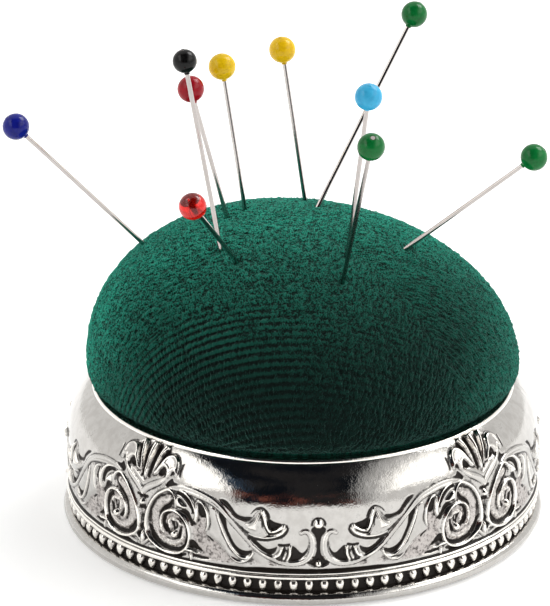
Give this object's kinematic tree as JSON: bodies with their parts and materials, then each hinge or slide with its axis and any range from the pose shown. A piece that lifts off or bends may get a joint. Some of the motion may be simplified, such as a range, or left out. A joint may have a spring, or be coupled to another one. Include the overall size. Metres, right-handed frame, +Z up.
{
  "type": "pin cushion",
  "caption": "Domed velvet pin cushion in a cast antiqued ring base with a relief band, holding ball-headed pins that slide in and out.",
  "frame": {"origin": "centre of the flat face that the cushion's base rests on", "axes": "+Z up along the axis of the base; -Y is the front, where the relief's centre motif is; +X is to the right seen from the front"},
  "size_m": [0.0779, 0.07, 0.0728],
  "materials": {
    "antiqued_silver": "cast zinc alloy, silver plated, polished on the shoulder and antiqued dark in the relief",
    "tinplate": "pressed tinplate",
    "felt": "dense wool felt",
    "card": "stiff pulp board",
    "fibre_fill": "packed fibre filling",
    "velvet": "short pile velvet with sheen",
    "thread": "waxed thread",
    "nickel_steel": "nickel plated steel wire",
    "blue_glass": "opaque glossy ball",
    "black_glass": "opaque glossy ball",
    "crimson_glass": "opaque glossy ball",
    "lemon_glass": "opaque glossy ball",
    "ruby_glass": "clear glass ball",
    "amber_glass": "opaque glossy ball",
    "emerald_glass": "opaque glossy ball",
    "turquoise_glass": "opaque glossy ball",
    "jade_glass": "opaque glossy ball",
    "green_glass": "opaque glossy ball"
  },
  "bodies": {
    "root": {"base_ring": "antiqued_silver", "base_plate": "tinplate", "felt_pad": "felt", "cushion_board": "card", "stuffing": "fibre_fill", "velvet_cover": "velvet", "gathering_thread": "thread"},
    "blue_pin": {"blue_pin_shaft": "nickel_steel", "blue_pin_head": "blue_glass"},
    "black_pin": {"black_pin_shaft": "nickel_steel", "black_pin_head": "black_glass"},
    "crimson_pin": {"crimson_pin_shaft": "nickel_steel", "crimson_pin_head": "crimson_glass"},
    "lemon_pin": {"lemon_pin_shaft": "nickel_steel", "lemon_pin_head": "lemon_glass"},
    "ruby_pin": {"ruby_pin_shaft": "nickel_steel", "ruby_pin_head": "ruby_glass"},
    "amber_pin": {"amber_pin_shaft": "nickel_steel", "amber_pin_head": "amber_glass"},
    "emerald_pin": {"emerald_pin_shaft": "nickel_steel", "emerald_pin_head": "emerald_glass"},
    "turquoise_pin": {"turquoise_pin_shaft": "nickel_steel", "turquoise_pin_head": "turquoise_glass"},
    "jade_pin": {"jade_pin_shaft": "nickel_steel", "jade_pin_head": "jade_glass"},
    "green_pin": {"green_pin_shaft": "nickel_steel", "green_pin_head": "green_glass"}
  },
  "joints": [
    {"name": "blue_pin_slide", "type": "slide", "parent": "root", "child": "blue_pin", "axis": [-0.6789, -0.1182, 0.7247], "range_m": [-0.0223, 0.014]},
    {"name": "black_pin_slide", "type": "slide", "parent": "root", "child": "black_pin", "axis": [-0.1757, 0.0645, 0.9823], "range_m": [-0.0242, 0.013]},
    {"name": "crimson_pin_slide", "type": "slide", "parent": "root", "child": "crimson_pin", "axis": [-0.2416, -0.087, 0.9665], "range_m": [-0.0168, 0.02]},
    {"name": "lemon_pin_slide", "type": "slide", "parent": "root", "child": "lemon_pin", "axis": [-0.1452, -0.0272, 0.989], "range_m": [-0.0182, 0.019]},
    {"name": "ruby_pin_slide", "type": "slide", "parent": "root", "child": "ruby_pin", "axis": [-0.3131, -0.6581, 0.6847], "range_m": [-0.015, 0.022]},
    {"name": "amber_pin_slide", "type": "slide", "parent": "root", "child": "amber_pin", "axis": [-0.142, -0.0086, 0.9898], "range_m": [-0.0194, 0.017]},
    {"name": "emerald_pin_slide", "type": "slide", "parent": "root", "child": "emerald_pin", "axis": [0.4464, 0.4015, 0.7997], "range_m": [-0.0273, 0.009]},
    {"name": "turquoise_pin_slide", "type": "slide", "parent": "root", "child": "turquoise_pin", "axis": [0.1001, -0.23, 0.968], "range_m": [-0.0231, 0.014]},
    {"name": "jade_pin_slide", "type": "slide", "parent": "root", "child": "jade_pin", "axis": [0.1177, -0.501, 0.8574], "range_m": [-0.0259, 0.011]},
    {"name": "green_pin_slide", "type": "slide", "parent": "root", "child": "green_pin", "axis": [0.7669, -0.1034, 0.6334], "range_m": [-0.0193, 0.017]}
  ]
}
